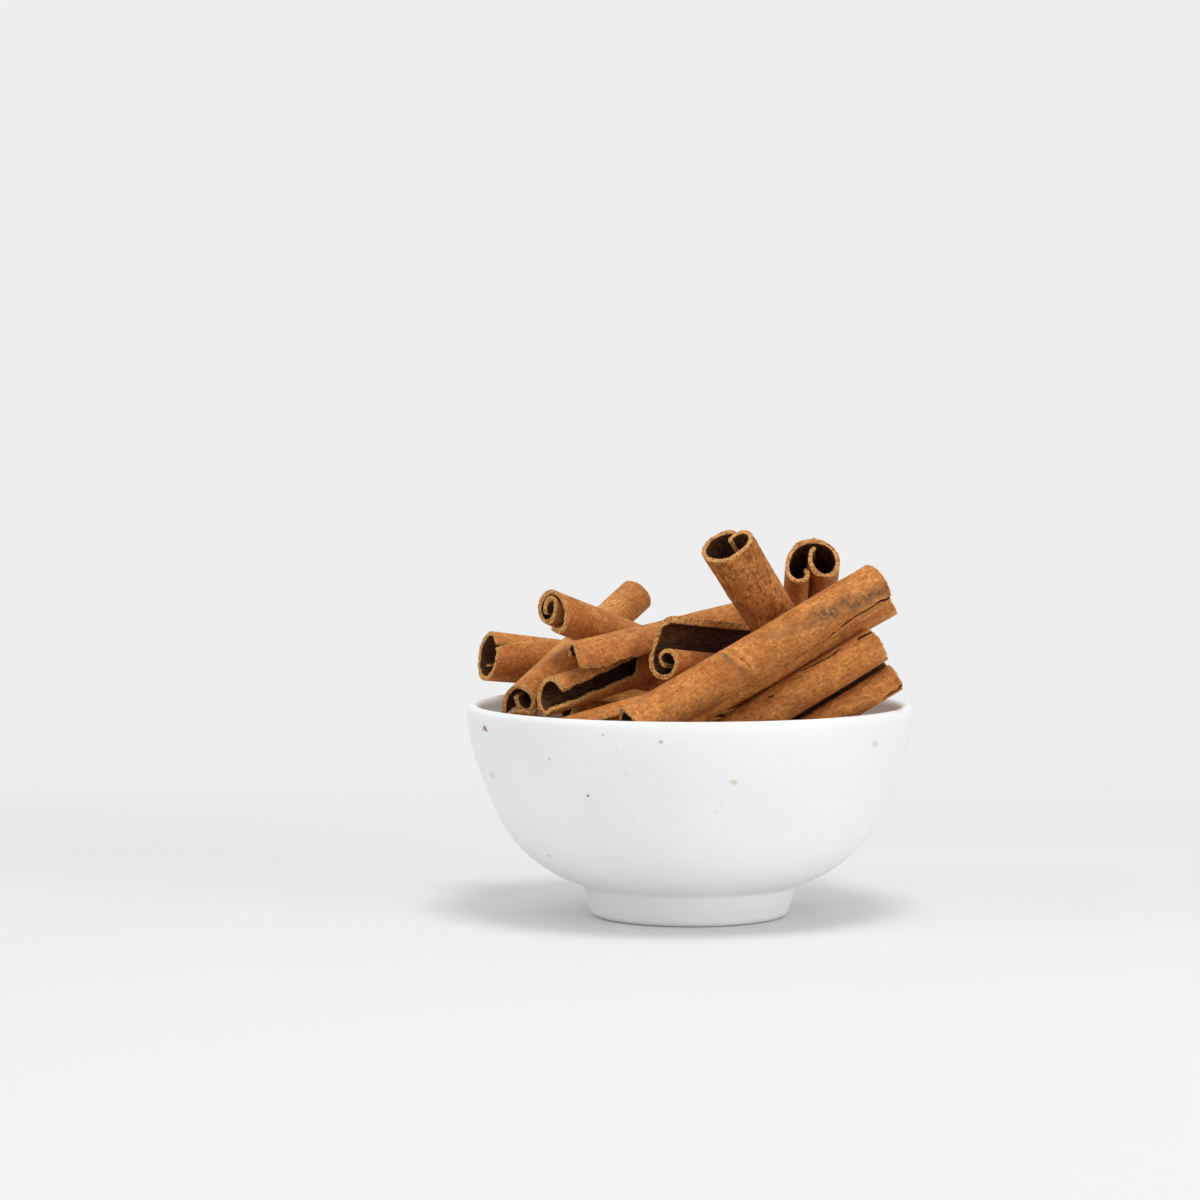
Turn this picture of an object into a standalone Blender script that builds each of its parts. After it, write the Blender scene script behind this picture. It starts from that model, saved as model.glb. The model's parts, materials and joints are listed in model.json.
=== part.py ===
"""A white rice bowl with a heap of cinnamon sticks standing and lying in it.

Lengths are in millimetres and are scaled to metres where the meshes are made. The origin is on the
table under the middle of the bowl, +X is the right of the heap and +Y is its back.
"""

import math

import bmesh
import bpy
from mathutils import Matrix, Vector

MM = 0.001

# Bowl
RIM_RADIUS = 60.0
BOWL_HEIGHT = 57.3
BOWL_WALL = 3.2
LIP_RADIUS = 1.6
LIP_DEPTH = 3.3
WALL_LEAN = 5.0
WALL_ARCS = ((55, 14), (150, 5), (36, 48))
FOOT_TOP_RADIUS = 29.0
FOOT_RING_OUTER = 25.0
FOOT_RING_INNER = 21.5
FOOT_HEIGHT = 8.6
FOOT_ROUND = 2.0
RECESS_RADIUS = 19.5
RECESS_HEIGHT = 3.0
LIP_SWEEP = (150, 20)
LIP_FACETS = 5
FOOT_FACETS = 3
FLOOR_RINGS = 4
WALL_STEP = 6.0
BOWL_STEPS = 40

# Cinnamon bark
BARK = 1.2
BARK_COLUMNS = 36
BARK_ROWS = 3
HIDDEN_COLUMNS = 16
HIDDEN_ROWS = 2
SUBSTEPS = 8

PORCELAIN = (0.86, 0.88, 0.9)
CINNAMON = (0.42, 0.18, 0.062)


def clear_scene():
    for obj in list(bpy.data.objects):
        bpy.data.objects.remove(obj)


def make_material(name, colour, roughness):
    material = bpy.data.materials.new(name)
    material.use_nodes = True
    surface = material.node_tree.nodes["Principled BSDF"]
    surface.inputs["Base Color"].default_value = (*colour, 1)
    surface.inputs["Roughness"].default_value = roughness
    surface.inputs["Metallic"].default_value = 0
    return material


def add_object(name, mesh, colour, roughness):
    mesh.materials.append(make_material(name, colour, roughness))
    obj = bpy.data.objects.new(name, mesh)
    heap.objects.link(obj)
    return obj


def arc_chain(heading, arcs, step):
    """Points of arcs that run on from each other, from (0, 0). Each arc is (radius, turn in degrees)."""
    point = Vector((0, 0))
    angle = math.radians(heading)
    points = [point.copy()]
    for radius, turn in arcs:
        turn = math.radians(turn)
        count = max(1, round(abs(turn) * radius / step))
        chord = 2 * radius * abs(math.sin(turn / count / 2))
        for _ in range(count):
            angle += turn / count / 2
            point += chord * Vector((math.cos(angle), math.sin(angle)))
            angle += turn / count / 2
            points.append(point.copy())
    return points


def arc(centre, radius, first, last, count):
    """Points on a circle, from one angle to another in degrees."""
    angles = [math.radians(first + (last - first) * i / count) for i in range(count + 1)]
    return [Vector(centre) + radius * Vector((math.cos(a), math.sin(a))) for a in angles]


def bowl_profile():
    """The bowl's section from the middle of its underside, round the lip, to the middle of its floor."""
    shoulder = Vector((RIM_RADIUS, BOWL_HEIGHT - LIP_DEPTH))
    falling = [(radius, -turn) for radius, turn in WALL_ARCS]
    outside = [shoulder + point for point in arc_chain(-90 - WALL_LEAN, falling, WALL_STEP)]
    inside = []
    for before, after in zip(outside, outside[1:]):
        outward = (after - before).normalized().orthogonal()
        inside.append((before + after) / 2 - BOWL_WALL * outward)
    foot = [Vector((FOOT_TOP_RADIUS, FOOT_HEIGHT))]
    foot += arc((FOOT_RING_OUTER, FOOT_ROUND), FOOT_ROUND, 0, -90, FOOT_FACETS)
    recess = [Vector((RECESS_RADIUS, RECESS_HEIGHT)), Vector((0, RECESS_HEIGHT))]
    under = [Vector((FOOT_RING_INNER, 0)), *recess]
    lip_centre = Vector((RIM_RADIUS - LIP_RADIUS, BOWL_HEIGHT - LIP_RADIUS))
    lip = arc(lip_centre, LIP_RADIUS, *LIP_SWEEP, LIP_FACETS)
    floor = []
    edge = inside[-1]
    slope = math.radians(90 - WALL_LEAN - sum(turn for _, turn in WALL_ARCS))
    floor_radius = edge.x / math.sin(slope)
    for i in range(1, FLOOR_RINGS + 1):
        lean = slope * (1 - i / FLOOR_RINGS)
        drop = floor_radius * (math.cos(lean) - math.cos(slope))
        floor.append(Vector((floor_radius * math.sin(lean), edge.y - drop)))
    return list(reversed(floor)) + list(reversed(inside)) + lip + outside + foot + under


def add_bowl():
    mesh = bpy.data.meshes.new("bowl")
    profile = bowl_profile()
    edges = [(i, i + 1) for i in range(len(profile) - 1)]
    mesh.from_pydata([(p.x * MM, 0, p.y * MM) for p in profile], edges, [])
    obj = add_object("bowl", mesh, PORCELAIN, 0.25)
    screw = obj.modifiers.new("Screw", "SCREW")
    screw.steps = BOWL_STEPS
    screw.render_steps = BOWL_STEPS
    screw.use_merge_vertices = True
    screw.merge_threshold = 0.0001


def single_scroll(outer, inner, turns, tuck):
    """A sheet rolled up from one edge, from its outer edge inwards: (radius, turn) arcs."""
    quarters = round(turns * 4)
    shrink = (outer - inner) / max(1, quarters - 1)
    return [(outer - shrink * i, 90) for i in range(quarters)] + tuck


def double_scroll(left, right, spine, cleft, left_tuck, right_tuck):
    """A sheet rolled up from both edges into two lobes that meet in a cleft, which faces down.

    The lobes' centres lie on a level line, and the spine is the wide arc over the top of both.
    """
    apart = left + right + BARK + cleft
    to_left = spine - left
    to_right = spine - right
    at_left = math.degrees(math.acos((to_left**2 + apart**2 - to_right**2) / (2 * to_left * apart)))
    at_right = math.degrees(math.acos((to_right**2 + apart**2 - to_left**2) / (2 * to_right * apart)))
    over = 180 - at_left - at_right
    return left_tuck + [(left, -180 - at_left), (spine, -over), (right, -180 - at_right)] + right_tuck


def section_points(section, curl, columns):
    """The sheet's middle line in a section, evenly spaced, about the middle of its own box."""
    heading, arcs = section
    total = sum(abs(math.radians(turn)) * radius for radius, turn in arcs)
    step = total / columns
    ends = []
    reached = 0
    for radius, turn in arcs:
        reached += abs(math.radians(turn)) * radius
        ends.append((reached, math.copysign(curl / radius, turn)))
    angle = math.radians(heading)
    point = Vector((0, 0))
    points = [point.copy()]
    for i in range(columns * SUBSTEPS):
        along = (i + 0.5) * step / SUBSTEPS
        bend = next(bend for end, bend in ends if along < end + 1e-6)
        angle += bend * step / SUBSTEPS / 2
        point += step / SUBSTEPS * Vector((math.cos(angle), math.sin(angle)))
        angle += bend * step / SUBSTEPS / 2
        if (i + 1) % SUBSTEPS == 0:
            points.append(point.copy())
    xs = [p.x for p in points]
    ys = [p.y for p in points]
    middle = Vector(((min(xs) + max(xs)) / 2, (min(ys) + max(ys)) / 2))
    return [p - middle for p in points]


def add_stick(
    name, start, end, section, roll=0, twist=0, taper=1, curl=1, oval=1, cuts=((0, 0), (0, 0)), hidden=False
):
    """One rolled sheet of bark between two points.

    The section is drawn as seen from the start: x to the right and y up. It is drawn out upwards by
    oval, then rolled. Towards the end it turns by the twist, grows by the taper and rolls tighter by
    the curl. The cuts are the slopes of the two end faces, to the right and up.
    """
    columns, rows = (HIDDEN_COLUMNS, HIDDEN_ROWS) if hidden else (BARK_COLUMNS, BARK_ROWS)
    start = Vector(start)
    end = Vector(end)
    along = (end - start).normalized()
    right = along.cross((0, 0, 1)).normalized()
    up = right.cross(along)
    work = bmesh.new()
    bmesh.ops.create_grid(work, x_segments=columns, y_segments=rows, size=1)
    work.verts.ensure_lookup_table()
    for row in range(rows + 1):
        v = row / rows
        points = section_points(section, 1 + (curl - 1) * v, columns)
        turn = Matrix.Rotation(math.radians(roll + twist * v), 2)
        scale = 1 + (taper - 1) * v
        base = start.lerp(end, v)
        cut = Vector(cuts[0]).lerp(Vector(cuts[1]), v)
        for column, point in enumerate(points):
            flat = turn @ Vector((point.x, point.y * oval)) * scale
            place = base + right * flat.x + up * flat.y + along * flat.dot(cut)
            work.verts[row * (columns + 1) + column].co = place * MM
    mesh = bpy.data.meshes.new(name)
    work.to_mesh(mesh)
    work.free()
    mesh.shade_smooth()
    obj = add_object(name, mesh, CINNAMON, 0.75)
    solidify = obj.modifiers.new("Solidify", "SOLIDIFY")
    solidify.thickness = BARK * MM
    solidify.offset = 0
    solidify.use_even_offset = True


def add_shown_sticks():
    lipped_ring = (107, [(4.2, 73), (6.3, 180), (6.2, 118)])
    start, end = (-55.9, 26.2, 68.2), (-2, 52, 60.5)
    add_stick("stick_far_left", start, end, lipped_ring, taper=0.88, cuts=((0, 0.05), (0, 0)))

    outer_turn = [(3.7, 100), (5.5, 57), (4.5, 63), (5.8, 45), (4.8, 44)]
    inner_turn = [(2.4, 98), (3.6, 53), (9.8, 17), (1.1, 106), (3.1, 69), (4.9, 20)]
    start, end = (-36.5, -10.6, 82.7), (6, 36.3, 62.2)
    add_stick("stick_upper_left", start, end, (-38, outer_turn + inner_turn), cuts=((0, -0.5), (0, 0)))

    plain_scroll = (0, single_scroll(4.8, 3.5, 1, [(2.1, 90)]))
    start, end = (-15.3, 45, 84.2), (-46, 8.5, 56.8)
    add_stick("stick_back_left", start, end, plain_scroll, roll=90)

    open_ring = (85, [(5, 110), (4.6, 70)])
    start, end = (-30.5, -26, 72.1), (21, 18, 82.1)
    add_stick("stick_middle", start, end, open_ring, cuts=((-0.5, 0), (0, 0)))

    slotted_ring = (105, [(4.3, 303)])
    start, end = (-37, -25, 61), (14, 18, 74)
    add_stick("stick_slotted", start, end, slotted_ring, twist=110, curl=0.96, cuts=((0, 0.37), (0, 0)))

    left_scroll = (85, [(10.3, -46), (3.8, -118), (3.3, -66), (2.3, -104), (5.9, -25)])
    start, end = (-45.7, -17.3, 59.2), (-29.2, 11.3, 70.2)
    add_stick("stick_front_left", start, end, left_scroll)

    half_open = (175, [(5.2, 75), (38.7, 11), (4.5, 143), (3.4, 142), (2, 167)])
    start, end = (-6.6, -28.4, 74.2), (35, 22, 67)
    add_stick("stick_half_open", start, end, half_open)

    overlapped_oval = (-150, [(7.1, -32), (3.1, -144), (14.4, -52), (4.6, -159), (16.1, -20)])
    start, end = (-15, -46.8, 53), (50.5, -19, 88.8)
    slant = ((0, 0), (0, -0.2))
    add_stick("stick_front_long", start, end, overlapped_oval, roll=45, twist=15, cuts=slant)

    grooved = (-30, double_scroll(4.4, 3.2, 14, 1.6, [(1.6, -60)], [(1.6, -60)]))
    start, end = (51.5, -23.1, 71.2), (-16, -34.1, 30.4)
    add_stick("stick_front_right", start, end, grooved, roll=-80)

    big_turn = [(5.2, 98), (4.7, 50), (7.4, 52), (7.3, 70), (4.1, 91)]
    hook = [(3.4, 60), (5.5, 9), (1, 119)]
    start, end = (9.4, -31.3, 100.9), (40, 5, 51)
    add_stick("stick_leaning", start, end, (168, big_turn + hook), taper=0.84)

    left_lobe = [(1, -108), (2.9, -154), (7.2, -39)]
    right_lobe = [(7.8, -83), (3.8, -167), (3.7, -84), (3, 3), (2.9, -43)]
    start, end = (32.9, 3.6, 95.7), (32, 55, 63.7)
    add_stick("stick_back_right", start, end, (-21, left_lobe + right_lobe), roll=8, oval=1.3)

    low_scroll = (120, single_scroll(4.9, 3.6, 1, [(2.1, 100)]))
    start, end = (-31, -40, 52.4), (20, -17.2, 64.8)
    add_stick("stick_front_low", start, end, low_scroll)


def add_hidden_sticks():
    plain = (0, single_scroll(5.6, 4.3, 1, [(2.4, 90)]))
    slim = (0, single_scroll(5.2, 3.9, 1, [(2.2, 90)]))
    places = [
        ((-35, 2, 21), (37, -14, 25), plain, 20),
        ((-29, 33.5, 33), (36, 0, 21.3), plain, 140),
        ((17, -26, 32), (-40, 26, 41), plain, 250),
        ((45, -21, 47), (-19, 16, 24), plain, 60),
        ((46, -8, 40), (-10, 43, 33), plain, 300),
        ((-33, 3, 57.3), (32, 38, 47), plain, 110),
        ((-23, -7, 48), (44, 25, 50), slim, 200),
        ((-47, 18, 49.6), (-7, -28, 17), slim, 330),
    ]
    for number, (start, end, section, roll) in enumerate(places, 1):
        add_stick(f"stick_under_{number}", start, end, section, roll=roll, hidden=True)


clear_scene()
heap = bpy.data.collections.new("bowl_of_cinnamon_sticks")
bpy.context.scene.collection.children.link(heap)
add_bowl()
add_shown_sticks()
add_hidden_sticks()
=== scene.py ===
# A white footed bowl heaped with cinnamon quills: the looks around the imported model.
import json
import math

import bpy
import numpy as np
from mathutils import Matrix

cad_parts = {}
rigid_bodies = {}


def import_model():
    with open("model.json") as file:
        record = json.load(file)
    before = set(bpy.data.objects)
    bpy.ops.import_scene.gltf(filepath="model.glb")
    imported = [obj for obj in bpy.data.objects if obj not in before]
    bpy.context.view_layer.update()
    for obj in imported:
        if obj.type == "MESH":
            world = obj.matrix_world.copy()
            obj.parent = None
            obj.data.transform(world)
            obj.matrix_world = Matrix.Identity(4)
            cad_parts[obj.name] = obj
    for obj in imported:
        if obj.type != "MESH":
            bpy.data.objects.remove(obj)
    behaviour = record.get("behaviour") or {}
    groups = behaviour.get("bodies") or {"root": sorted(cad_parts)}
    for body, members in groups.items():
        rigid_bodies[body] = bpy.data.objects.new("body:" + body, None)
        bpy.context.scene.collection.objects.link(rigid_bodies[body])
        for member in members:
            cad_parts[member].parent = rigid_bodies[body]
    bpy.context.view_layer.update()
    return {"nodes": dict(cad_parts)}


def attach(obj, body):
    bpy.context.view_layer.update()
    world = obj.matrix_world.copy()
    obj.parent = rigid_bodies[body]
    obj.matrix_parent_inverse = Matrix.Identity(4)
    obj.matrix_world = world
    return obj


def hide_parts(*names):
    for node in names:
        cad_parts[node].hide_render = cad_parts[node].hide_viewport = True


for thing in list(bpy.data.objects):
    bpy.data.objects.remove(thing)
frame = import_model()
mm = 0.001  # the dictionaries below are in millimetres
barkThickness = 1.2
print("frame loaded:", len(frame["nodes"]), "nodes")


def softNoise(x, y, seed):
    # random heights at the whole numbers, joined by smooth steps, from -1 to 1
    heights = np.random.default_rng(seed).uniform(-1, 1, (64, 64))
    left, low = np.floor(x).astype(int), np.floor(y).astype(int)
    a, b = x - left, y - low
    a, b = a * a * (3 - 2 * a), b * b * (3 - 2 * b)
    lowRow = heights[left % 64, low % 64] * (1 - a) + heights[(left + 1) % 64, low % 64] * a
    highRow = heights[left % 64, (low + 1) % 64] * (1 - a) + heights[(left + 1) % 64, (low + 1) % 64] * a
    return lowRow * (1 - b) + highRow * b


def layeredNoise(x, y, seed, layers=3):
    # soft noise at doubling frequency and halving height
    total = sum(0.5**n * softNoise(x * 2**n, y * 2**n, seed + n) for n in range(layers))
    return total / (2 - 0.5 ** (layers - 1))


def blockSkin(nu, nv, nw):
    # the outside of a block of nu x nv x nw cells: its lattice points and the quads between them
    ids = np.arange((nu + 1) * (nv + 1) * (nw + 1)).reshape(nu + 1, nv + 1, nw + 1)

    def side(grid, step):
        corners = [grid[:-1, :-1], grid[1:, :-1], grid[1:, 1:], grid[:-1, 1:]]
        return np.stack(corners, -1).reshape(-1, 4)[:, ::step]

    quads = np.concatenate(
        [side(ids[:, :, 0], -1), side(ids[:, :, -1], 1), side(ids[:, 0], 1), side(ids[:, -1], -1)]
        + [side(ids[0], -1), side(ids[-1], 1)]
    )
    used, quads = np.unique(quads, return_inverse=True)
    return np.unravel_index(used, ids.shape), quads.reshape(-1, 4)


def facingOut(points, quads):
    # turns every face round if the closed shape comes out with a negative volume
    a, b, c, d = (points[quads[:, n]] for n in range(4))
    volume = np.einsum("ij,ij->", a, np.cross(b, c)) + np.einsum("ij,ij->", a, np.cross(c, d))
    return quads if volume > 0 else quads[:, ::-1]


def makePiece(name, points, quads, material, fields=None, smooth=True):
    mesh = bpy.data.meshes.new(name)
    mesh.vertices.add(len(points))
    mesh.vertices.foreach_set("co", np.ascontiguousarray(points, np.float32).ravel())
    mesh.loops.add(quads.size)
    mesh.loops.foreach_set("vertex_index", np.ascontiguousarray(quads, np.int32).ravel())
    mesh.polygons.add(len(quads))
    mesh.polygons.foreach_set("loop_start", np.arange(0, quads.size, quads.shape[1], dtype=np.int32))
    mesh.update(calc_edges=True)
    for key, values in (fields or {}).items():
        kind = "FLOAT_VECTOR" if values.ndim == 2 else "FLOAT"
        layer = mesh.attributes.new(key, kind, "POINT")
        layer.data.foreach_set("vector" if values.ndim == 2 else "value", values.astype(np.float32).ravel())
    if smooth:
        mesh.shade_smooth()
    mesh.materials.append(material)
    piece = bpy.data.objects.new(name, mesh)
    bpy.context.scene.collection.objects.link(piece)
    return piece


class Graph:
    # a short way to add and link nodes in one tree
    def __init__(self, tree):
        self.tree = tree

    def add(self, kind, values=None, **settings):
        node = self.tree.nodes.new(kind)
        for key, value in settings.items():
            setattr(node, key, value)
        for key, value in (values or {}).items():
            if isinstance(value, bpy.types.NodeSocket):
                self.tree.links.new(value, node.inputs[key])
            else:
                node.inputs[key].default_value = value
        return node

    def maths(self, operation, a, b=0.0, clamp=False):
        return self.add("ShaderNodeMath", {0: a, 1: b}, operation=operation, use_clamp=clamp).outputs[0]

    def ramp(self, value, low, high):
        # 0 below low and 1 above high, with a smooth step between
        values = {"Value": value, "From Min": low, "From Max": high}
        return self.add("ShaderNodeMapRange", values, interpolation_type="SMOOTHSTEP").outputs[0]

    def blend(self, factor, a, b, how="MIX"):
        values = {"Factor": factor, "A": a, "B": b}
        node = self.tree.nodes.new("ShaderNodeMix")
        node.data_type, node.blend_type = "RGBA", how
        for key, number in (("Factor", 0), ("A", 6), ("B", 7)):
            value = values[key]
            if isinstance(value, bpy.types.NodeSocket):
                self.tree.links.new(value, node.inputs[number])
            else:
                node.inputs[number].default_value = value if number == 0 else (*value, 1)
        return node.outputs[2]

    def noise(self, vector, scale, detail=3.0, roughness=0.5, stretch=(1, 1, 1)):
        place = self.add("ShaderNodeMapping", {"Vector": vector, "Scale": stretch}).outputs[0]
        values = {"Vector": place, "Scale": scale, "Detail": detail, "Roughness": roughness}
        return self.add("ShaderNodeTexNoise", values).outputs["Fac"]

    def field(self, name, socket="Fac"):
        return self.add("ShaderNodeAttribute", attribute_name=name).outputs[socket]


def newMaterial(name):
    material = bpy.data.materials.new(name)
    material.use_nodes = True
    graph = Graph(material.node_tree)
    return material, graph, material.node_tree.nodes["Principled BSDF"]


def newGroup(name, inputs, outputs):
    group = bpy.data.node_groups.new(name, "ShaderNodeTree")
    for key, kind in inputs:
        group.interface.new_socket(key, in_out="INPUT", socket_type=kind)
    for key, kind in outputs:
        group.interface.new_socket(key, in_out="OUTPUT", socket_type=kind)
    graph = Graph(group)
    return group, graph, graph.add("NodeGroupInput").outputs, graph.add("NodeGroupOutput").inputs


def makeBarkGrain():
    # masks of layered noise at millimetre sizes, drawn out along the quill, read from the sheet's own place
    masks = ("Mottle", "Patch", "Fibre", "Speck", "Height")
    group, graph, given, out = newGroup(
        "barkGrain",
        [("Place", "NodeSocketVector"), ("Grain", "NodeSocketFloat")],
        [(key, "NodeSocketFloat") for key in masks],
    )
    place = given["Place"]
    scaled = graph.add("ShaderNodeVectorMath", {0: place, "Scale": given["Grain"]}, operation="SCALE").outputs[0]
    mottle = graph.noise(scaled, 1.35, 5, 0.9, (1, 0.7, 1))
    patch = graph.noise(place, 0.14, 4, 0.65, (1, 0.6, 1))
    fibre = graph.noise(scaled, 1.7, 4, 0.65, (1, 0.16, 1))
    speck = graph.noise(scaled, 1.4, 2, 0.6, (1, 0.8, 1))
    links = graph.tree.links
    links.new(graph.ramp(mottle, 0.40, 0.61), out["Mottle"])
    links.new(graph.ramp(patch, 0.35, 0.65), out["Patch"])
    links.new(graph.ramp(fibre, 0.38, 0.62), out["Fibre"])
    links.new(graph.ramp(speck, 0.6, 0.72), out["Speck"])
    height = graph.maths("ADD", graph.maths("MULTIPLY", mottle, 0.7), graph.maths("MULTIPLY", fibre, 0.4))
    links.new(height, out["Height"])
    return group


barkGrain = makeBarkGrain()

barkLook = {
    "light": (0.90, 0.41, 0.125),
    "middle": (0.58, 0.205, 0.047),
    "dark": (0.17, 0.048, 0.009),
    "rust": (0.40, 0.12, 0.026),
    # inner bark: its own darker brown, darkened further as painted shade in the hollow of the roll
    "inner": (0.045, 0.017, 0.007),
    "innerPaleShaded": (0.125, 0.056, 0.027),
    "cut": (0.80, 0.42, 0.14),
    "cutDark": (0.24, 0.082, 0.020),
    "stain": (0.11, 0.068, 0.042),
    # painted shade: near black for the gap of a crack
    "crackShade": (0.028, 0.011, 0.005),
    # strength of the painted shade in the creases
    "creaseShade": 0.35,
    "grain": 1.0,
    "bump": 0.8,
}


def makeBark(name, **changes):
    # colours chosen by the masks: outer bark, inner bark darkened further with painted shade, broken edges, then stains
    # and the painted shade of cracks over them
    look = barkLook | changes
    material, graph, surface = newMaterial(name)
    links = graph.tree.links
    place = graph.field("barkPlace", "Vector")
    grain = graph.add("ShaderNodeGroup", node_tree=barkGrain)
    links.new(place, grain.inputs["Place"])
    grain.inputs["Grain"].default_value = look["grain"]
    mottle, patch, fibre, speck = (grain.outputs[key] for key in ("Mottle", "Patch", "Fibre", "Speck"))
    relief = graph.field("relief")
    # outer bark: mottled tan over brown, redder in patches; painted shade darkens its creases and a painted highlight
    # lightens its ridge tops
    outer = graph.blend(mottle, look["middle"], look["light"])
    outer = graph.blend(graph.maths("MULTIPLY", patch, 0.62), outer, look["rust"])
    outer = graph.blend(graph.maths("MULTIPLY", fibre, 0.22), outer, look["dark"])
    outer = graph.blend(graph.maths("MULTIPLY", speck, 0.7), outer, look["dark"])
    # painted shade: darker where the relief sinks into a crease
    outer = graph.blend(graph.maths("MULTIPLY", graph.ramp(relief, 0.1, -1.0), look["creaseShade"]), outer, look["dark"])
    # painted highlight: paler where the relief rises on a ridge
    outer = graph.blend(graph.maths("MULTIPLY", graph.ramp(relief, 0.1, 0.9), 0.4), outer, look["light"])
    # inner bark, its colours lowered as painted shade for the inside of the roll
    inner = graph.blend(fibre, look["inner"], look["innerPaleShaded"])
    inner = graph.blend(graph.maths("MULTIPLY", speck, 0.5), inner, look["inner"])
    colour = graph.blend(graph.ramp(graph.field("outside"), 0.3, 0.7), inner, outer)
    grit = graph.noise(place, 2.0, 4, 0.75)
    cut = graph.blend(graph.ramp(grit, 0.40, 0.56), look["cutDark"], look["cut"])
    colour = graph.blend(graph.ramp(graph.field("broken"), 0.15, 0.75), colour, cut)
    stained = graph.maths("MULTIPLY", graph.field("stain"), graph.ramp(mottle, 0.0, 0.7), clamp=True)
    colour = graph.blend(stained, colour, look["stain"])
    # painted shade darkens the bark along each crack
    colour = graph.blend(graph.ramp(graph.field("crackShade"), 0.2, 0.7), colour, look["crackShade"])
    links.new(colour, surface.inputs["Base Color"])
    rough = graph.add("ShaderNodeMapRange", {"Value": mottle, "To Min": 0.62, "To Max": 0.85}).outputs[0]
    links.new(rough, surface.inputs["Roughness"])
    surface.inputs["Specular IOR Level"].default_value = 0.12
    bump = graph.add(
        "ShaderNodeBump",
        {"Strength": look["bump"], "Distance": 0.25 * mm, "Height": grain.outputs["Height"]},
    )
    links.new(bump.outputs[0], surface.inputs["Normal"])
    return material


def scrollArcs(outer, inner, tuck):
    # one full turn that tightens from outer to inner in quarters, then the tuck
    return [(outer - (outer - inner) * n / 3, 90) for n in range(4)] + tuck


def doubleArcs(left, right, spine, cleft, leftTuck, rightTuck):
    # rolled up from both edges: two lobes with level centres, joined by the wide spine arc over them
    apart = left + right + barkThickness + cleft
    toLeft, toRight = spine - left, spine - right
    atLeft = math.degrees(math.acos((toLeft**2 + apart**2 - toRight**2) / (2 * toLeft * apart)))
    atRight = math.degrees(math.acos((toRight**2 + apart**2 - toLeft**2) / (2 * toRight * apart)))
    over = 180 - atLeft - atRight
    return leftTuck + [(left, -180 - atLeft), (spine, -over), (right, -180 - atRight)] + rightTuck


def sheetLength(section):
    return sum(radius * abs(math.radians(turn)) for radius, turn in section[1])


def sheetCurve(section, s, curl):
    # x, y and heading at length s along arcs that run on from each other, each rolled tighter by curl
    x, y, heading = np.zeros_like(s), np.zeros_like(s), np.zeros_like(s)
    startX, startY = np.zeros_like(s), np.zeros_like(s)
    startHeading = np.full_like(s, math.radians(section[0]))
    reached = 0
    for number, (radius, turn) in enumerate(section[1]):
        bend = math.copysign(1 / radius, turn) * curl
        length = radius * abs(math.radians(turn))
        here = startHeading + bend * (s - reached)
        inside = (s >= reached) | (number == 0)
        x = np.where(inside, startX + (np.sin(here) - np.sin(startHeading)) / bend, x)
        y = np.where(inside, startY - (np.cos(here) - np.cos(startHeading)) / bend, y)
        heading = np.where(inside, here, heading)
        after = startHeading + bend * length
        startX = startX + (np.sin(after) - np.sin(startHeading)) / bend
        startY = startY - (np.cos(after) - np.cos(startHeading)) / bend
        startHeading = after
        reached += length
    return x, y, heading


def placeSheet(quill, s, v, depth):
    # a sheet point in the bowl's frame: s mm along the section, v along the quill, depth mm outwards
    curl = quill["curl"]
    rows = np.linspace(-0.1, 1.1, 13)
    along = np.linspace(0, sheetLength(quill["section"]), 121)
    gridX, gridY, _ = sheetCurve(quill["section"], np.tile(along, (13, 1)), (1 + (curl - 1) * rows)[:, None])
    middleX = np.interp(v, rows, (gridX.min(1) + gridX.max(1)) / 2)
    middleY = np.interp(v, rows, (gridY.min(1) + gridY.max(1)) / 2)
    x, y, heading = sheetCurve(quill["section"], s, 1 + (curl - 1) * v)
    x, y = x - middleX, (y - middleY) * quill["oval"]
    tangentX, tangentY = np.cos(heading), np.sin(heading) * quill["oval"]
    size = np.hypot(tangentX, tangentY) * quill["outwards"]
    scale = 1 + (quill["taper"] - 1) * v
    x, y = x * scale - tangentY / size * depth, y * scale + tangentX / size * depth
    turn = np.radians(quill["roll"] + quill["twist"] * v)
    x, y = x * np.cos(turn) - y * np.sin(turn), x * np.sin(turn) + y * np.cos(turn)
    start, end = np.array(quill["start"], float), np.array(quill["end"], float)
    forward = (end - start) / np.linalg.norm(end - start)
    right = np.cross(forward, (0, 0, 1))
    right /= np.linalg.norm(right)
    up = np.cross(right, forward)
    cuts = np.array(quill["cuts"], float)
    lean = x * (cuts[0, 0] * (1 - v) + cuts[1, 0] * v) + y * (cuts[0, 1] * (1 - v) + cuts[1, 1] * v)
    base = start + np.outer(v, end - start) + np.outer(np.sin(np.pi * v), quill["bow"])
    return (base + np.outer(x, right) + np.outer(y, up) + np.outer(lean, forward)) * mm


def markDistance(s, t, path):
    # the distance from each sheet point to a broken line drawn on the sheet
    nearest = np.full_like(s, 1e9)
    for (s0, t0), (s1, t1) in zip(path, path[1:]):
        ds, dt = s1 - s0, t1 - t0
        part = np.clip(((s - s0) * ds + (t - t0) * dt) / (ds * ds + dt * dt), 0, 1)
        nearest = np.minimum(nearest, np.hypot(s - s0 - part * ds, t - t0 - part * dt))
    return nearest


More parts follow.
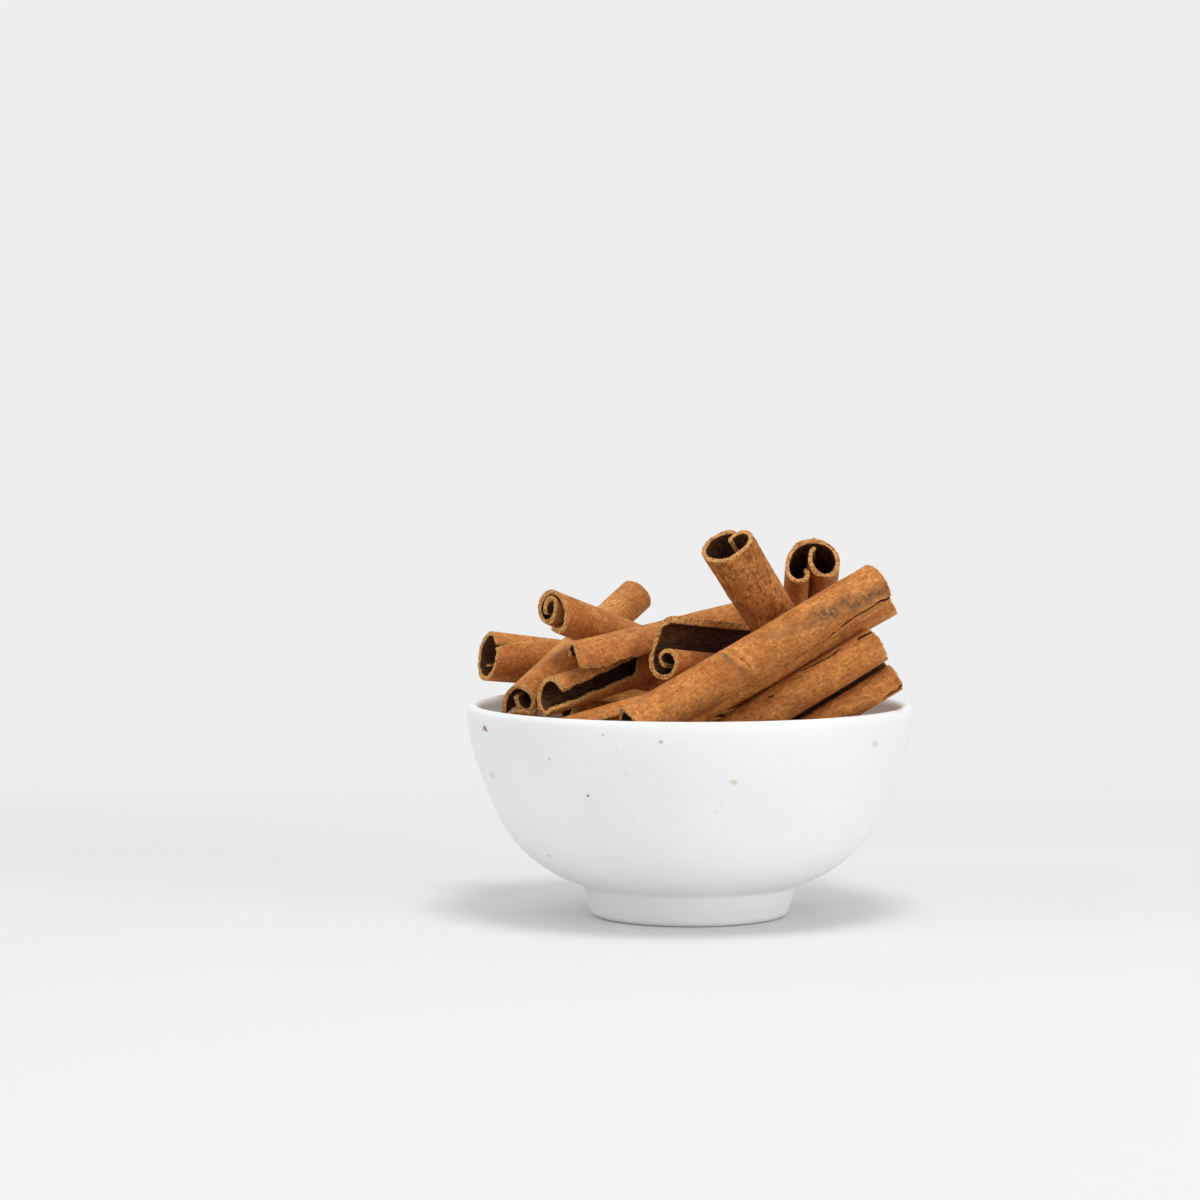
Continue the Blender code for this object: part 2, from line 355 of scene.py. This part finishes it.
quillDefaults = {
    "roll": 0,
    "twist": 0,
    "taper": 1,
    "curl": 1,
    "oval": 1,
    "cuts": ((0, 0), (0, 0)),
    "bow": (0, 0, 0),
    "outwards": 1,
    "step": 0.5,
    "frayStart": 0.35,
    "frayEnd": 0.35,
    "frayLeft": 0.3,
    "frayRight": 0.3,
    "tornLeft": 0.3,
    "tornRight": 0.3,
    "tornEnds": 0.25,
    "thickLeft": 0,
    "startShape": ((0, 0), (1, 0)),
    "endShape": ((0, 0), (1, 0)),
    "leftShape": ((0, 0), (1, 0)),
    "rightShape": ((0, 0), (1, 0)),
    "wobble": 0.22,
    "wrinkle": 0.04,
    "wrinkleAcross": 1.0,
    "wrinkleAlong": 1.8,
    "marks": (),
    "look": {},
}


def makeQuill(name, node, seed, **changes):
    # a block of cells bent into a rolled sheet: u across the roll, v along the quill, w through the bark
    quill = quillDefaults | changes
    length = float(np.linalg.norm(np.subtract(quill["end"], quill["start"])))
    total = sheetLength(quill["section"])
    counts = round(total / quill["step"]), round(length / quill["step"]), 4
    (i, j, k), quads = blockSkin(*counts)
    u, v, w = i / counts[0], j / counts[1], k / counts[2]
    s, t = u * total, v * length
    # the two long edges and the two ends follow their shapes, and fray in layers near the edge
    edgeShape = [np.interp(v, *zip(*quill[key])) for key in ("leftShape", "rightShape")]
    endShape = [np.interp(u, *zip(*quill[key])) for key in ("startShape", "endShape")]

    def frayed(place, number):
        coarse = layeredNoise(place / 2.4 + 7, w * 0.8, seed + number, 3)
        return coarse + 0.5 * layeredNoise(place / 0.8, w * 2.2, seed + number + 4, 2)

    near = [np.clip(1 - d / 5, 0, 1) ** 2 for d in (s, total - s, t, length - t)]
    shift = edgeShape[0] * (1 - u) + edgeShape[1] * u
    shift = shift + quill["frayLeft"] * frayed(t, 20) * near[0] + quill["frayRight"] * frayed(t, 30) * near[1]
    slide = endShape[0] * (1 - v) + endShape[1] * v
    slide = slide + quill["frayStart"] * frayed(s, 40) * near[2] + quill["frayEnd"] * frayed(s, 50) * near[3]
    s, t = s + shift, t + slide
    # relief: broad lumps, drawn-out wrinkles and small pits outside, fine lengthwise fibres inside
    wrinkles = layeredNoise(s / quill["wrinkleAcross"], t / quill["wrinkleAlong"], seed + 60, 3)
    creases = np.clip(1 - 5 * abs(wrinkles), 0, 1)
    lumps = layeredNoise(s / 6, t / 14, seed + 70, 2)
    pits = np.clip(softNoise(s / 0.8, t / 1.2, seed + 80) - 0.6, 0, 1)
    relief = 0.6 * wrinkles - creases
    outerDepth = barkThickness / 2 + quill["wrinkle"] * relief + 0.1 * lumps - 0.15 * pits
    fibres = layeredNoise(s / 0.7, t / 12, seed + 90, 2)
    innerDepth = -barkThickness / 2 + 0.08 * fibres - 0.08 * lumps
    innerDepth = innerDepth - quill["thickLeft"] * np.clip(1 - u * total / 5, 0, 1) ** 0.5
    stain, crackShade = np.zeros_like(s), np.zeros_like(s)
    for mark in quill["marks"]:
        wiggle = mark.get("wiggle", 0.5)
        wigglyS = s + wiggle * layeredNoise(s / 3, t / 2.5, seed + 95)
        wigglyT = t + wiggle * layeredNoise(s / 2.5, t / 3, seed + 97)
        away = markDistance(wigglyS, wigglyT, mark["path"])
        shape = np.exp(-((away / mark["width"]) ** 2))
        outerDepth = outerDepth - mark.get("depth", 0) * shape
        # a mark's shade darkens (positive) or lightens (negative) the relief the bark shader reads: painted shade or
        # painted highlight
        relief = relief - mark.get("shade", 0) * shape
        stain = np.maximum(stain, mark.get("stain", 0) * shape)
        # a crack's painted shade, strongest on its line
        crackShade = np.maximum(crackShade, mark.get("crackShade", 0) * shape)
    depth = innerDepth * (1 - w) + outerDepth * w
    depth = depth + quill["wobble"] * layeredNoise(s / 9, t / 30, seed + 3, 2)
    points = placeSheet(quill, s, t / length, depth)
    # the pale broken bark: the cut faces, and a ragged strip beside each torn edge
    onEdge = (i == 0) | (i == counts[0]) | (j == 0) | (j == counts[1])
    strips = np.array([quill["tornLeft"], quill["tornRight"], quill["tornEnds"], quill["tornEnds"]])
    ragged = 1 + 0.8 * layeredNoise(s / 0.9, t / 0.9, seed + 9, 2)
    inset = np.stack([u * total, total - u * total, v * length, length - v * length])
    strip = np.max(1 - inset / np.maximum(strips[:, None] * ragged, 0.01), axis=0)
    broken = np.where(onEdge, 1.0, np.clip(strip, 0, 1))
    fields = {
        "barkPlace": np.stack([s + 13 * (seed % 17), t + 7 * (seed % 23), depth], 1),
        "outside": w,
        "broken": broken,
        "relief": np.where(k == 0, 0.0, relief),
        "stain": np.where(k == 0, 0.0, stain),
        "crackShade": np.where(k == 0, 0.0, crackShade),
    }
    piece = makePiece(name, points, facingOut(points, quads), makeBark(name + "Bark", **quill["look"]), fields)
    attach(piece, "root")
    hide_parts(node)
    return piece


farLeft = {
    "start": (-55.9, 26.2, 68.2),
    "end": (-2, 52, 60.5),
    "section": (107, [(4.2, 73), (6.3, 180), (6.2, 118)]),
    "taper": 0.88,
    "cuts": ((0, 0.05), (0, 0)),
    "rightShape": ((0, 0), (0.05, 0.6), (0.25, 4.6), (1, 4.8)),
}
upperLeft = {
    "start": (-36.5, -10.6, 82.7),
    "end": (6, 36.3, 62.2),
    "section": (-38, [(3.7, 100), (5.5, 57), (4.5, 63), (5.8, 45), (4.8, 44), (2.4, 98), (3.6, 53), (9.8, 17), (1.1, 106), (3.1, 69), (4.9, 20)]),
    "cuts": ((0, -0.5), (0, 0)),
}
backLeft = {
    "start": (-15.3, 45, 84.2),
    "end": (-46, 8.5, 56.8),
    "section": (0, scrollArcs(4.8, 3.5, [(2.1, 90)])),
    "roll": 90,
    "look": {"light": (0.90, 0.46, 0.16), "middle": (0.66, 0.26, 0.065)},
}
middleQuill = {
    "start": (-30.5, -26, 72.1),
    "end": (21, 18, 82.1),
    "section": (85, [(5, 110), (4.6, 70)]),
    "cuts": ((-0.5, 0), (0, 0)),
    "leftShape": ((0, 0.3), (0.03, -0.6), (0.12, -1.1), (0.2, -0.7), (0.4, -0.3), (1, 0)),
    "frayLeft": 0.75,
    "frayStart": 0.7,
    "tornLeft": 0.9,
    "marks": (
        {"path": [(6.0, 4), (6.2, 14), (6.7, 24)], "width": 0.15, "depth": 0.2, "crackShade": 0.6},
        {"path": [(3.2, 8), (3.6, 15)], "width": 0.18, "depth": 0.15, "crackShade": 0.5},
    ),
    "look": {"light": (0.86, 0.40, 0.13)},
}
slotted = {
    "start": (-37, -25, 61),
    "end": (14, 18, 74),
    "section": (105, [(4.3, 303)]),
    "twist": 110,
    "curl": 0.96,
    "cuts": ((0, 0.37), (0, 0)),
    "rightShape": ((0, 0.4), (0.1, 0), (0.40, 0.2), (0.42, 3.9), (1, 4.1)),
    "frayLeft": 0.55,
    "frayRight": 0.6,
    "tornLeft": 0.9,
    "tornRight": 1.1,
    "startShape": ((0, 1.2), (0.12, 0.2), (0.3, 0), (0.8, -0.3), (0.93, -2.2), (1, -1.4)),
}
frontLeft = {
    "start": (-45.7, -17.3, 59.2),
    "end": (-29.2, 11.3, 70.2),
    "section": (85, [(10.3, -46), (3.8, -118), (3.3, -66), (2.3, -104), (5.9, -25)]),
}
halfOpen = {
    "start": (-6.6, -28.4, 74.2),
    "end": (35, 22, 67),
    "section": (175, [(5.2, 75), (38.7, 11), (4.5, 143), (3.4, 142), (2, 167)]),
    "thickLeft": 0.8,
    "frayLeft": 0.5,
    "tornLeft": 1.2,
    "frayStart": 0.55,
}
frontLong = {
    "start": (-15, -46.8, 53),
    "end": (50.5, -19, 88.8),
    "section": (-150, [(7.1, -32), (3.1, -144), (14.4, -52), (4.6, -159), (16.1, -20)]),
    "roll": 45,
    "twist": 15,
    "cuts": ((0, 0), (0, -0.2)),
    "step": 0.45,
    "endShape": ((0, 0), (0.4, 0.3), (0.7, 0.6), (0.92, -0.2), (1, -0.9)),
    "frayRight": 0.5,
    "marks": (
        {"path": [(43.2, 44), (42.4, 50.7), (42.5, 54.2), (42.3, 58.4), (40.9, 62.4)], "width": 0.24, "depth": 0.5, "crackShade": 1, "wiggle": 0.9},
        {"path": [(40.9, 62.4), (39.7, 66.9), (40.0, 70.7), (40.2, 74.6), (41.0, 81)], "width": 0.42, "depth": 0.8, "crackShade": 1, "wiggle": 0.9},
        {"path": [(41.9, 64), (41.2, 69), (41.4, 76)], "width": 0.5, "stain": 0.7, "wiggle": 0.9},
        # scar ridges raised with painted highlight on them, a groove with painted shade between, and its crack
        {"path": [(28.0, 31.4), (31.0, 31.8), (33.6, 32.4), (35.4, 33.6)], "width": 0.7, "depth": -0.45, "shade": -0.9},
        {"path": [(29.5, 34.6), (32.0, 34.6), (34.4, 34.9), (38.4, 35.2)], "width": 0.6, "depth": -0.4, "shade": -0.9},
        {"path": [(29.5, 33.3), (32.4, 33.4), (35.0, 34.2)], "width": 0.5, "depth": 0.25, "shade": 1.1},
        {"path": [(32.0, 33.5), (34.6, 34.0)], "width": 0.16, "depth": 0.2, "crackShade": 0.6},
        {"path": [(29.8, 30.3), (31.6, 30.6)], "width": 1.3, "stain": 0.8, "wiggle": 1.4},
        {"path": [(33.0, 30.9), (35.6, 31.4)], "width": 0.7, "stain": 0.5, "wiggle": 1.4},
        {"path": [(36.0, 31.2), (36.6, 31.9)], "width": 0.8, "stain": 0.7, "wiggle": 1.2},
        {"path": [(31.2, 42), (32.6, 47), (33.7, 52.6), (34.1, 58.8)], "width": 1.1, "stain": 0.6, "wiggle": 1.6},
        {"path": [(34.1, 58.8), (35.0, 64.8), (36.1, 70.6), (37.3, 78)], "width": 1.7, "stain": 0.95, "wiggle": 1.6},
    ),
}
frontRight = {
    "start": (51.5, -23.1, 71.2),
    "end": (-16, -34.1, 30.4),
    "section": (-30, doubleArcs(4.4, 3.2, 14, 1.6, [(1.6, -60)], [(1.6, -60)])),
    "roll": -80,
    "frayStart": 0.6,
    "marks": (
        {"path": [(14.5, 4.2), (14.2, 2), (13.8, -1)], "width": 0.4, "depth": 0.6, "crackShade": 1},
        {"path": [(15.5, 22), (15.0, 16), (14.2, 10)], "width": 0.26, "depth": 0.4, "crackShade": 1, "wiggle": 0.9},
        {"path": [(12.5, 34.1), (13.2, 29)], "width": 0.22, "depth": 0.3, "crackShade": 0.9, "wiggle": 0.9},
        {"path": [(40.8, 6.0), (41.6, 3.5), (41.2, -1)], "width": 0.35, "depth": 0.5, "crackShade": 1},
    ),
}
leaning = {
    "start": (9.4, -31.3, 100.9),
    "end": (40, 5, 51),
    "section": (168, [(5.2, 98), (4.7, 50), (7.4, 52), (7.3, 70), (4.1, 91), (3.4, 60), (5.5, 9), (1, 119)]),
    "taper": 0.84,
    "wrinkle": 0.2,
    "wrinkleAcross": 1.0,
    "wrinkleAlong": 3.0,
    # darker bark colours and deeper crease darkening for this quill: painted shade
    "look": {"creaseShade": 0.8, "light": (0.74, 0.33, 0.10), "middle": (0.42, 0.145, 0.035)},
}
backRight = {
    "start": (32.9, 3.6, 95.7),
    "end": (32, 55, 63.7),
    "section": (-21, [(1, -108), (2.9, -154), (7.2, -39), (7.8, -83), (3.8, -167), (3.7, -84), (3, 3), (2.9, -43)]),
    "roll": 8,
    "oval": 1.3,
    "step": 0.45,
    "frayStart": 0.8,
    "tornEnds": 0.5,
    # darker bark colours for this quill: painted shade
    "look": {"middle": (0.38, 0.115, 0.027), "light": (0.70, 0.28, 0.08)},
}
frontLow = {
    "start": (-31, -40, 52.4),
    "end": (20, -17.2, 64.8),
    "section": (120, scrollArcs(4.9, 3.6, [(2.1, 100)])),
}

shownQuills = {
    "farLeftQuill": ("stick_far_left", farLeft),
    "upperLeftQuill": ("stick_upper_left", upperLeft),
    "backLeftQuill": ("stick_back_left", backLeft),
    "middleQuill": ("stick_middle", middleQuill),
    "slottedQuill": ("stick_slotted", slotted),
    "frontLeftQuill": ("stick_front_left", frontLeft),
    "halfOpenQuill": ("stick_half_open", halfOpen),
    "frontLongQuill": ("stick_front_long", frontLong),
    "frontRightQuill": ("stick_front_right", frontRight),
    "leaningQuill": ("stick_leaning", leaning),
    "backRightQuill": ("stick_back_right", backRight),
    "frontLowQuill": ("stick_front_low", frontLow),
}
for number, (name, (node, quill)) in enumerate(shownQuills.items()):
    turning = sum(turn for _, turn in quill["section"][1])
    makeQuill(name, node, 100 * number + 11, outwards=-1 if turning > 0 else 1, **quill)
print("shown quills made:", len(shownQuills))

plainSection = (0, scrollArcs(5.6, 4.3, [(2.4, 90)]))
slimSection = (0, scrollArcs(5.2, 3.9, [(2.2, 90)]))
underQuills = [
    ((-35, 2, 21), (37, -14, 25), plainSection, 20),
    ((-29, 33.5, 33), (36, 0, 21.3), plainSection, 140),
    ((17, -26, 32), (-40, 26, 41), plainSection, 250),
    ((45, -21, 47), (-19, 16, 24), plainSection, 60),
    ((46, -8, 40), (-10, 43, 33), plainSection, 300),
    ((-33, 3, 57.3), (32, 38, 47), plainSection, 110),
    ((-23, -7, 48), (44, 25, 50), slimSection, 200),
    ((-47, 18, 49.6), (-7, -28, 17), slimSection, 330),
]
for number, (start, end, section, roll) in enumerate(underQuills, 1):
    quill = {"start": start, "end": end, "section": section, "roll": roll, "outwards": -1, "step": 1.0}
    makeQuill(f"underQuill{number}", f"stick_under_{number}", 1300 + 100 * number, **quill)
print("hidden quills made:", len(underQuills))

# loose bits of bark: middle, half sizes across, deep and high, and a turn about the upright axis
crumbs = [
    ((-44.6, -22.0, 56.6), (1.3, 0.8, 0.5), 20),
    ((-42.6, -22.4, 56.4), (0.8, 0.7, 0.45), 70),
    ((-46.6, -20.6, 56.4), (0.9, 0.6, 0.4), 130),
    ((-48.9, -19.2, 58.3), (0.3, 0.35, 2.1), 15),
    ((-55.0, 27.4, 65.4), (1.3, 0.8, 0.35), 35),
    ((-39.6, -23.5, 57.4), (0.7, 0.5, 0.35), 100),
]


def makeCrumbs():
    # each a small block with its corners drawn in and its faces roughened
    allPoints, allQuads = [], []
    for number, (middle, half, turn) in enumerate(crumbs):
        (i, j, k), quads = blockSkin(8, 8, 8)
        cube = np.stack([i, j, k], 1) / 4 - 1
        ball = cube / np.linalg.norm(cube, axis=1)[:, None]
        points = (0.55 * cube + 0.45 * ball) * np.array(half)
        rough = layeredNoise(4 * cube[:, 0] + 2 * cube[:, 2], 4 * cube[:, 1] + cube[:, 2], 900 + number, 2)
        points = points * (1 + 0.3 * rough)[:, None]
        angle = math.radians(turn)
        across = points[:, 0] * math.cos(angle) - points[:, 1] * math.sin(angle)
        deep = points[:, 0] * math.sin(angle) + points[:, 1] * math.cos(angle)
        points = np.stack([across, deep, points[:, 2]], 1) + np.array(middle)
        allQuads.append(facingOut(points, quads) + sum(map(len, allPoints)))
        allPoints.append(points)
    points, quads = np.concatenate(allPoints), np.concatenate(allQuads)
    none = np.zeros(len(points))
    fields = {"barkPlace": points, "outside": none + 1, "broken": none + 0.5, "relief": none, "stain": none, "crackShade": none}
    piece = makePiece("barkCrumbs", points * mm, quads, makeBark("crumbBark"), fields)
    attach(piece, "root")


makeCrumbs()
print("crumbs made:", len(crumbs))


bowl = {
    "rimRadius": 60.0,
    "height": 57.3,
    "wall": 3.2,
    "lipRadius": 1.6,
    "lipDepth": 3.3,
    "wallLean": 5.0,
    "wallArcs": ((55, 14), (150, 5), (36, 48)),
    "footTop": 29.0,
    "footOuter": 25.0,
    "footInner": 21.5,
    "footHeight": 8.6,
    "footRound": 2.0,
    "recessRadius": 19.5,
    "recessHeight": 3.0,
    "rings": 256,
    "spots": [
        ((-53.8, 52.5), 0.6, (0.34, 0.11, 0.06)),
        ((-7.1, 52.2), 0.45, (0.42, 0.30, 0.14)),
        ((-26.3, 37.4), 0.3, (0.35, 0.30, 0.20)),
        ((-52.2, 40.0), 0.9, (0.74, 0.74, 0.75)),
        ((48.4, 49.6), 0.9, (0.76, 0.76, 0.77)),
        ((11.7, 41.5), 0.5, (0.70, 0.66, 0.56)),
        ((10.9, 41.9), 0.4, (0.72, 0.68, 0.58)),
        ((-37.0, 19.3), 0.3, (0.55, 0.36, 0.32)),
        ((-36.2, 46.7), 0.25, (0.50, 0.42, 0.30)),
        ((-22.1, 53.6), 0.3, (0.62, 0.60, 0.56)),
    ],
}


def arcPoints(x, y, radius, first, last, count):
    angles = np.radians(np.linspace(first, last, count))
    return np.stack([x + radius * np.cos(angles), y + radius * np.sin(angles)], 1)


def softened(line, rounds):
    # cuts each corner of an open line at a quarter and three quarters of its edges
    for _ in range(rounds):
        low, high = line[:-1] * 0.75 + line[1:] * 0.25, line[:-1] * 0.25 + line[1:] * 0.75
        line = np.concatenate([line[:1], np.stack([low, high], 1).reshape(-1, 2), line[-1:]])
    return line


def bowlProfile():
    # from the middle of the floor up the inside, over the lip, down the outside, round the foot
    falling = (-90 - bowl["wallLean"], [(radius, -turn) for radius, turn in bowl["wallArcs"]])
    steps = np.linspace(0, sheetLength(falling), 70)
    x, y, heading = sheetCurve(falling, steps, np.ones_like(steps))
    outside = np.stack([x + bowl["rimRadius"], y + bowl["height"] - bowl["lipDepth"]], 1)
    inside = (outside + bowl["wall"] * np.stack([np.sin(heading), -np.cos(heading)], 1))[::-1]
    slope = math.pi / 2 - math.radians(bowl["wallLean"] + sum(turn for _, turn in bowl["wallArcs"]))
    floorRadius = inside[0, 0] / math.sin(slope)
    lean = np.linspace(0, slope, 24)[:-1]
    floorX = floorRadius * np.sin(lean)
    floorY = inside[0, 1] - floorRadius * (np.cos(lean) - math.cos(slope))
    lipX, lipY = bowl["rimRadius"] - bowl["lipRadius"], bowl["height"] - bowl["lipRadius"]
    lip = arcPoints(lipX, lipY, bowl["lipRadius"], 165, 0, 16)
    foot = arcPoints(bowl["footOuter"], bowl["footRound"], bowl["footRound"], 0, -90, 10)
    corners = [(bowl["footTop"], bowl["footHeight"]), *foot.tolist(), (bowl["footInner"], 0)]
    corners += [(bowl["recessRadius"], bowl["recessHeight"]), (0, bowl["recessHeight"])]
    return np.stack([floorX, floorY], 1), inside, lip, outside, np.array(corners)


def spaced(line, step):
    # the same line with points at even spacing
    reached = np.concatenate([[0], np.cumsum(np.hypot(*np.diff(line, axis=0).T))])
    even = np.linspace(0, reached[-1], max(2, round(reached[-1] / step)))
    return np.stack([np.interp(even, reached, line[:, n]) for n in range(2)], 1)


def makeGlaze():
    # a soft white with faint clouds, a few pale specks and the single marks
    material, graph, surface = newMaterial("whiteGlaze")
    links = graph.tree.links
    place = graph.add("ShaderNodeTexCoord").outputs["Object"]
    cloud = graph.noise(place, 22, 3, 0.5)
    white = graph.blend(graph.ramp(cloud, 0.3, 0.7), (0.87, 0.885, 0.90), (0.91, 0.92, 0.928))
    speck = graph.ramp(graph.noise(place, 520, 1, 0.3), 0.775, 0.8)
    white = graph.blend(graph.maths("MULTIPLY", speck, 0.16), white, (0.45, 0.38, 0.33))
    # single marks: a colour over the points within a ragged radius of a place on the wall
    uneven = graph.maths("MULTIPLY", graph.noise(place, 900, 2, 0.6), 1.6 * mm)
    flat = graph.add("ShaderNodeMapping", {"Vector": place, "Scale": (1, 0, 1)}).outputs[0]
    for (x, z), radius, tone in bowl["spots"]:
        centre = (x * mm, 0, z * mm)
        away = graph.add("ShaderNodeVectorMath", {0: flat, 1: centre}, operation="DISTANCE").outputs["Value"]
        edge = graph.maths("ADD", away, uneven)
        white = graph.blend(graph.ramp(edge, (radius + 1.0) * mm, (radius + 0.6) * mm), white, tone)
    links.new(white, surface.inputs["Base Color"])
    links.new(graph.ramp(cloud, -2.0, 3.0), surface.inputs["Roughness"])
    surface.inputs["IOR"].default_value = 1.5
    return material


def makeBowl():
    # the profile turned round the upright axis, with a hand-thrown waver in radius
    floorLine, inside, lip, outside, foot = bowlProfile()
    line = np.concatenate([floorLine, inside, lip, outside, foot])
    line = softened(spaced(line, 1.0), 2)
    line = line[1:-1]
    turns = np.linspace(0, 2 * math.pi, bowl["rings"], endpoint=False)
    radius, height = line[:, 0][:, None], line[:, 1][:, None]
    waver = 1 + 0.0012 * np.sin(2 * turns + 0.7) + 0.0008 * np.sin(3 * turns + height / 30)
    grid = np.stack([radius * waver * np.cos(turns), radius * waver * np.sin(turns), height + 0 * turns], -1)
    rows, columns = grid.shape[:2]
    ids = np.arange(rows * columns).reshape(rows, columns)
    beside = np.roll(ids, -1, 1)
    quads = np.stack([ids[:-1], beside[:-1], beside[1:], ids[1:]], -1).reshape(-1, 4)
    points = grid.reshape(-1, 3)
    # each pole is closed by a small cap of quads through its middle
    caps = []
    for row, step in ((0, -1), (rows - 1, 1)):
        ring = ids[row][::step]
        half = columns // 2
        left, right = ring[: half + 1], np.concatenate([ring[half:], ring[:1]])[::-1]
        caps.append(np.stack([left[:-1], left[1:], right[1:], right[:-1]], -1))
    quads = np.concatenate([quads, *caps])
    points = points * mm
    piece = makePiece("bowlShell", points, facingOut(points, quads), makeGlaze())
    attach(piece, "root")
    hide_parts("bowl")
    return piece


makeBowl()
print("bowl made")


studio = {
    "floorTone": (0.78, 0.78, 0.78),
    "backdrop": 0.855,
    "worldStrength": 0.7,
    "keyPlace": (0.1, -0.35, 1.1),
    "keySize": 0.35,
    "keyPower": 4.2,
    "sidePlace": (0.9, -0.7, 0.35),
    "sideSize": 0.5,
    "sidePower": 2.4,
    "leftPlace": (-0.9, -0.45, 0.8),
    "leftSize": 0.5,
    "leftPower": 1.2,
}


def makeFloor():
    # a sweep: a flat floor that bends up into a backdrop far behind
    across = np.linspace(-4, 4, 9)
    run = np.concatenate([[-2.0, 0.0, 1.5], 1.5 + 1.5 * np.sin(np.linspace(0.1, math.pi / 2, 16)), [3.0]])
    rise = np.concatenate([[0, 0, 0], 1.5 - 1.5 * np.cos(np.linspace(0.1, math.pi / 2, 16)), [5.0]])
    points = np.array([(x, y, z) for y, z in zip(run, rise) for x in across])
    ids = np.arange(len(points)).reshape(len(run), len(across))
    quads = np.stack([ids[:-1, :-1], ids[:-1, 1:], ids[1:, 1:], ids[1:, :-1]], -1).reshape(-1, 4)
    # lit like any floor near the bowl, and an even glow far behind it
    material, graph, surface = newMaterial("paleFloor")
    place = graph.add("ShaderNodeTexCoord").outputs["Object"]
    far = graph.ramp(graph.add("ShaderNodeSeparateXYZ", {0: place}).outputs["Y"], 0.05, 0.45)
    tone = graph.blend(far, studio["floorTone"], (0, 0, 0))
    glow = graph.blend(far, (0, 0, 0), (studio["backdrop"],) * 3)
    graph.tree.links.new(tone, surface.inputs["Base Color"])
    graph.tree.links.new(glow, surface.inputs["Emission Color"])
    surface.inputs["Emission Strength"].default_value = 1
    surface.inputs["Roughness"].default_value = 0.9
    surface.inputs["Specular IOR Level"].default_value = 0
    floor = makePiece("floor", points, quads, material)


def addSoftbox(name, place, size, power, target=(0, 0, 0.06)):
    light = bpy.data.lights.new(name, "AREA")
    light.shape = "SQUARE"
    light.size = size
    light.energy = power
    lamp = bpy.data.objects.new(name, light)
    bpy.context.scene.collection.objects.link(lamp)
    aim = np.subtract(target, place)
    turn = math.atan2(aim[1], aim[0])
    tilt = math.atan2(-aim[2], math.hypot(aim[0], aim[1]))
    turned = Matrix.Rotation(turn, 4, "Z") @ Matrix.Rotation(tilt, 4, "Y") @ Matrix.Rotation(-math.pi / 2, 4, "Y")
    lamp.matrix_world = Matrix.Translation(place) @ turned


def addStudio():
    makeFloor()
    world = bpy.data.worlds.new("studio")
    world.use_nodes = True
    world.node_tree.nodes["Background"].inputs["Color"].default_value = (1, 1, 1, 1)
    world.node_tree.nodes["Background"].inputs["Strength"].default_value = studio["worldStrength"]
    bpy.context.scene.world = world
    addSoftbox("key", studio["keyPlace"], studio["keySize"], studio["keyPower"])
    addSoftbox("side", studio["sidePlace"], studio["sideSize"], studio["sidePower"])
    addSoftbox("left", studio["leftPlace"], studio["leftSize"], studio["leftPower"])
    bpy.context.scene.view_settings.view_transform = "Standard"


def addCamera():
    lens = bpy.data.cameras.new("camera")
    lens.sensor_width = 36
    lens.lens = 36 * 3715 / 1200
    camera = bpy.data.objects.new("camera", lens)
    bpy.context.scene.collection.objects.link(camera)
    yaw = Matrix.Rotation(math.radians(1.384), 4, "Z")
    pitch = Matrix.Rotation(math.radians(90 - 3.12), 4, "X")
    camera.matrix_world = Matrix.Translation((0, -1.0, 0.1396)) @ yaw @ pitch
    bpy.context.scene.camera = camera


addStudio()
addCamera()
print("studio made")
